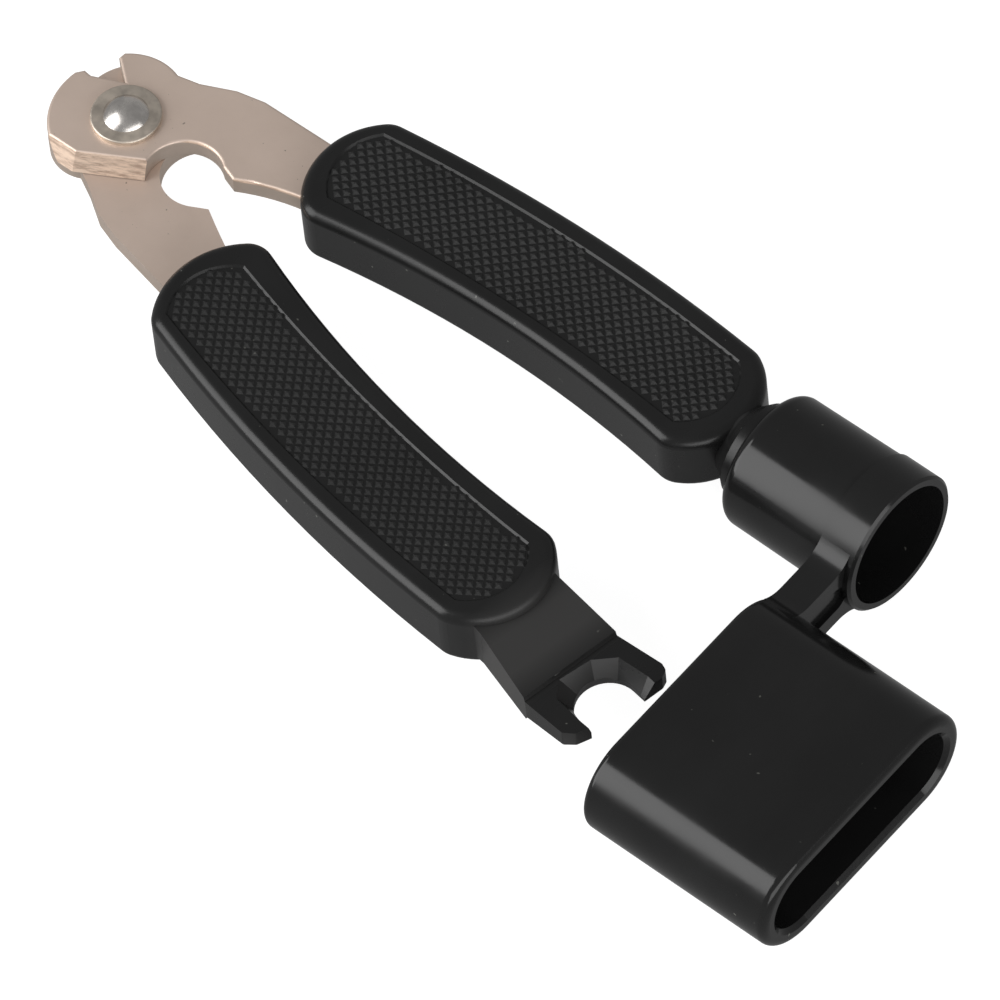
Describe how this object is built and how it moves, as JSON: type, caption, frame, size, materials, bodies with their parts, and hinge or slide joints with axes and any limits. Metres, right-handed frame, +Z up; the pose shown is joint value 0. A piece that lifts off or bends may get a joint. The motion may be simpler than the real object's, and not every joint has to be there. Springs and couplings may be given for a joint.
{
  "type": "string winder",
  "caption": "Instrument string winder with a spinning crank and peg cup, crossed steel string cutter levers in ribbed black grips, and a notched bridge pin fork.",
  "frame": {"origin": "middle of the footprint, on the table under the tool as it lies flat with the hub and the cup touching", "axes": "+X along the crank's spin axis, from the cutter head to the open end of the cup; +Y from the puller lever to the winder lever; +Z up, along the lever rivet"},
  "size_m": [0.1281, 0.0542, 0.0168],
  "materials": {
    "nickel_steel": "satin nickel plating on stamped steel",
    "polished_steel": "bright, with fine scratches",
    "washer_steel": "darker turned steel",
    "black_plastic": "half gloss moulded black plastic",
    "gloss_black_plastic": "glossy moulded black plastic"
  },
  "bodies": {
    "winder_side": {"top_blade": "nickel_steel", "winder_handle": "black_plastic", "pivot_rivet": "polished_steel", "pivot_washer": "washer_steel", "crank_screw": "polished_steel", "crank_washer": "washer_steel"},
    "puller_side": {"bottom_blade": "nickel_steel", "puller_handle": "black_plastic"},
    "crank": {"winder_crank": "gloss_black_plastic"}
  },
  "joints": [
    {"name": "cutter_pivot", "type": "hinge", "parent": "winder_side", "child": "puller_side", "pos_m": [-0.05575, 0.00894, 0.00887], "axis": [0, 0, 1], "range_deg": [-30, 11.5]},
    {"name": "crank_spin", "type": "hinge", "parent": "winder_side", "child": "crank", "pos_m": [0.03425, 0.01828, 0.00857], "axis": [1, 0, 0], "continuous": true}
  ]
}
